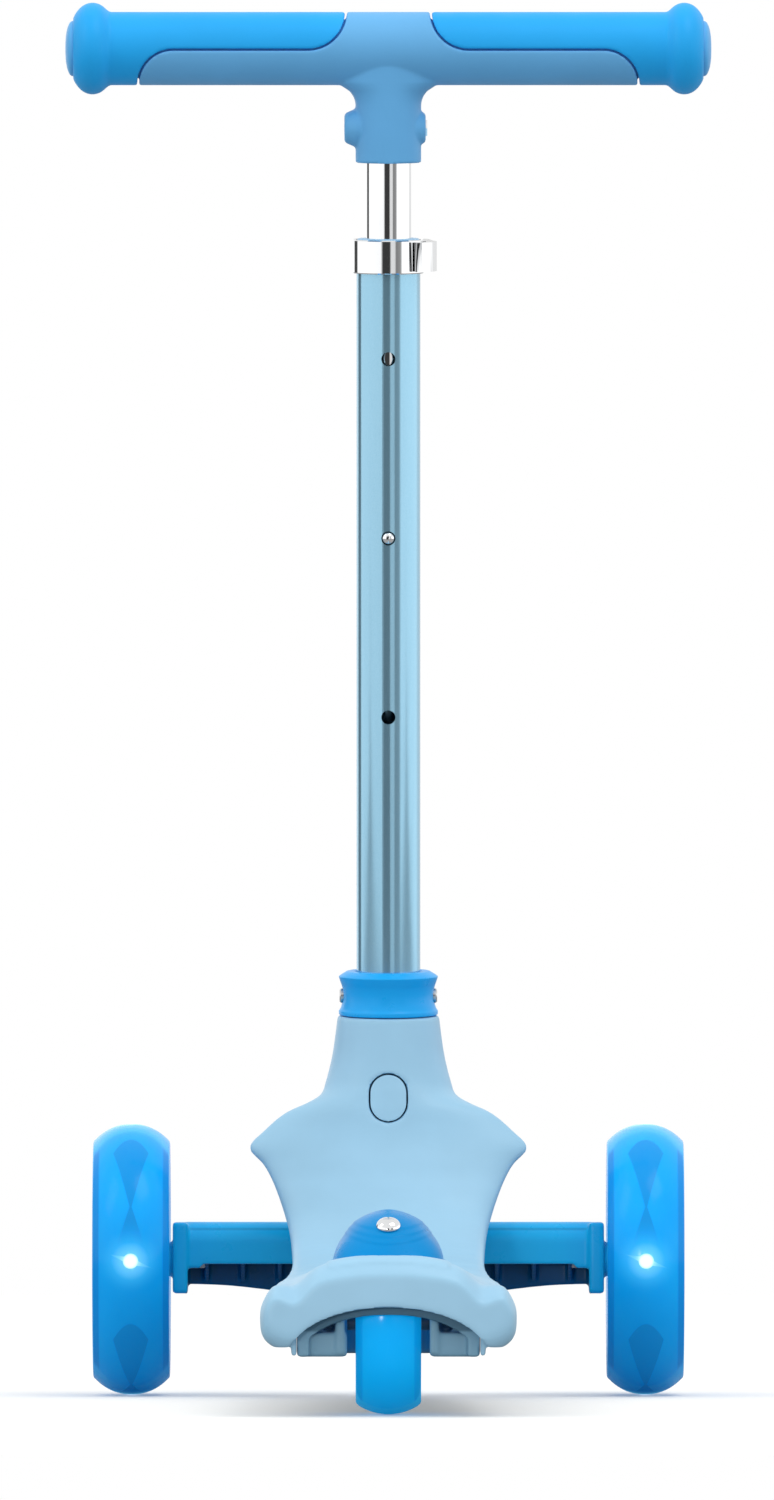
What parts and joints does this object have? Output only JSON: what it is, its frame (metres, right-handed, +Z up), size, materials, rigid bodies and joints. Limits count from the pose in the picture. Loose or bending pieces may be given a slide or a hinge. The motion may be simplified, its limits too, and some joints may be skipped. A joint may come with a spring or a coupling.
{
  "type": "kick scooter",
  "caption": "Small child's lean-to-steer kick scooter: two wide front wheels, one rear wheel with a press brake, whale-tail deck and a telescoping T-bar that lifts out.",
  "frame": {"origin": "middle of the footprint's box, on the ground under the wheels", "axes": "+Z up, +Y the way the scooter rolls, +X the rider's right"},
  "size_m": [0.2856, 0.54, 0.6158],
  "materials": {
    "shell_blue": "satin moulded, light blue",
    "azure_plastic": "satin moulded, azure",
    "azure_grip": "soft matte, azure",
    "bar_blue": "satin moulded, steel blue",
    "clear_azure": "translucent cast polyurethane, azure",
    "hub_plastic": "clear pale blue, glossy",
    "tube_blue": "satin light blue paint on aluminium",
    "chrome": "polished",
    "steel": "zinc plated",
    "nylon": "natural",
    "rubber": "matte black"
  },
  "bodies": {
    "deck": {"deck_shell": "shell_blue", "underframe": "shell_blue", "underframe_screw_1": "steel", "underframe_screw_2": "steel", "underframe_screw_3": "steel", "underframe_screw_4": "steel", "king_pin": "steel", "king_pin_nut": "steel", "release_spring": "steel", "steering_bumper_left": "rubber", "steering_bumper_right": "rubber", "rear_axle": "steel", "brake_pin": "steel", "brake_spring": "steel"},
    "axle": {"axle_beam": "azure_plastic", "pivot_bush_lower": "nylon", "pivot_bush_upper": "nylon", "front_left_axle": "steel", "front_right_axle": "steel", "front_left_magnet": "steel", "front_right_magnet": "steel"},
    "front_left_wheel": {"front_left_tyre": "clear_azure", "front_left_hub": "hub_plastic", "front_left_light_ring": "nylon", "front_left_bearing_inner": "steel", "front_left_bearing_outer": "steel"},
    "front_right_wheel": {"front_right_tyre": "clear_azure", "front_right_hub": "hub_plastic", "front_right_light_ring": "nylon", "front_right_bearing_inner": "steel", "front_right_bearing_outer": "steel"},
    "rear_wheel": {"rear_tyre": "clear_azure", "rear_hub": "hub_plastic", "rear_bearing_inner": "steel", "rear_bearing_outer": "steel"},
    "brake": {"brake_pedal": "azure_plastic", "brake_pad": "steel", "brake_screw": "chrome"},
    "release_button": {"release_button": "shell_blue"},
    "stem": {"outer_tube": "tube_blue", "tube_bushing": "nylon", "clamp_collar": "chrome", "clamp_bolt": "steel", "clamp_nut": "chrome", "stem_collar": "azure_plastic", "collar_bolt": "steel", "stem_pin_spring": "steel"},
    "stem_pin": {"stem_pin": "steel"},
    "clamp_lever": {"clamp_lever": "chrome"},
    "handlebar": {"handlebar_core": "bar_blue", "grip_left": "azure_grip", "grip_right": "azure_grip", "grip_end_left": "shell_blue", "grip_end_right": "shell_blue", "inner_tube": "chrome", "handlebar_bolt": "chrome", "handlebar_nut": "chrome", "height_button_spring": "steel"},
    "height_button": {"height_button": "chrome"}
  },
  "joints": [
    {"name": "lean_steer", "type": "hinge", "parent": "deck", "child": "axle", "pos_m": [0, 0.21, 0.066], "axis": [0, 0.5736, 0.8192], "range_deg": [-12, 12], "stiffness_Nm_per_rad": 40, "deforming": ["steering_bumper_left", "steering_bumper_right"]},
    {"name": "front_left_spin", "type": "hinge", "parent": "axle", "child": "front_left_wheel", "pos_m": [-0.1137, 0.21, 0.06], "axis": [1, 0, 0], "continuous": true},
    {"name": "front_right_spin", "type": "hinge", "parent": "axle", "child": "front_right_wheel", "pos_m": [0.1137, 0.21, 0.06], "axis": [1, 0, 0], "continuous": true},
    {"name": "rear_spin", "type": "hinge", "parent": "deck", "child": "rear_wheel", "pos_m": [0, -0.2165, 0.04], "axis": [1, 0, 0], "continuous": true},
    {"name": "brake_press", "type": "hinge", "parent": "deck", "child": "brake", "pos_m": [0, -0.176, 0.06], "axis": [1, 0, 0], "range_deg": [0, 1.5], "stiffness_Nm_per_rad": 12, "springref_deg": -1.72, "deforming": ["brake_spring"]},
    {"name": "release_button_press", "type": "slide", "parent": "deck", "child": "release_button", "axis": [0, 0.9976, 0.0698], "range_m": [0, 0.0031], "stiffness_N_per_m": 900, "springref_m": -0.002, "deforming": ["release_spring"]},
    {"name": "stem_release", "type": "slide", "parent": "deck", "child": "stem", "axis": [0, -0.0698, 0.9976], "range_m": [0, 0.065], "deforming": ["stem_pin"]},
    {"name": "stem_pin_press", "type": "slide", "parent": "stem", "child": "stem_pin", "axis": [0, 0.9976, 0.0698], "range_m": [0, 0.0031], "stiffness_N_per_m": 500, "springref_m": -0.002, "deforming": ["stem_pin_spring"]},
    {"name": "clamp_lever_open", "type": "hinge", "parent": "stem", "child": "clamp_lever", "pos_m": [0.0134, 0.20805, 0.50545], "axis": [0, -0.0698, 0.9976], "range_deg": [0, 120]},
    {"name": "height_adjust", "type": "slide", "parent": "stem", "child": "handlebar", "axis": [0, -0.0698, 0.9976], "range_m": [-0.033, 0.0793], "deforming": ["height_button"]},
    {"name": "height_button_press", "type": "slide", "parent": "handlebar", "child": "height_button", "axis": [0, 0.9976, 0.0698], "range_m": [0, 0.0042], "stiffness_N_per_m": 600, "springref_m": -0.002, "deforming": ["height_button_spring"]}
  ],
  "couplings": [
    {"joint": "stem_pin_press", "follows": "release_button_press", "ratio": 1}
  ]
}
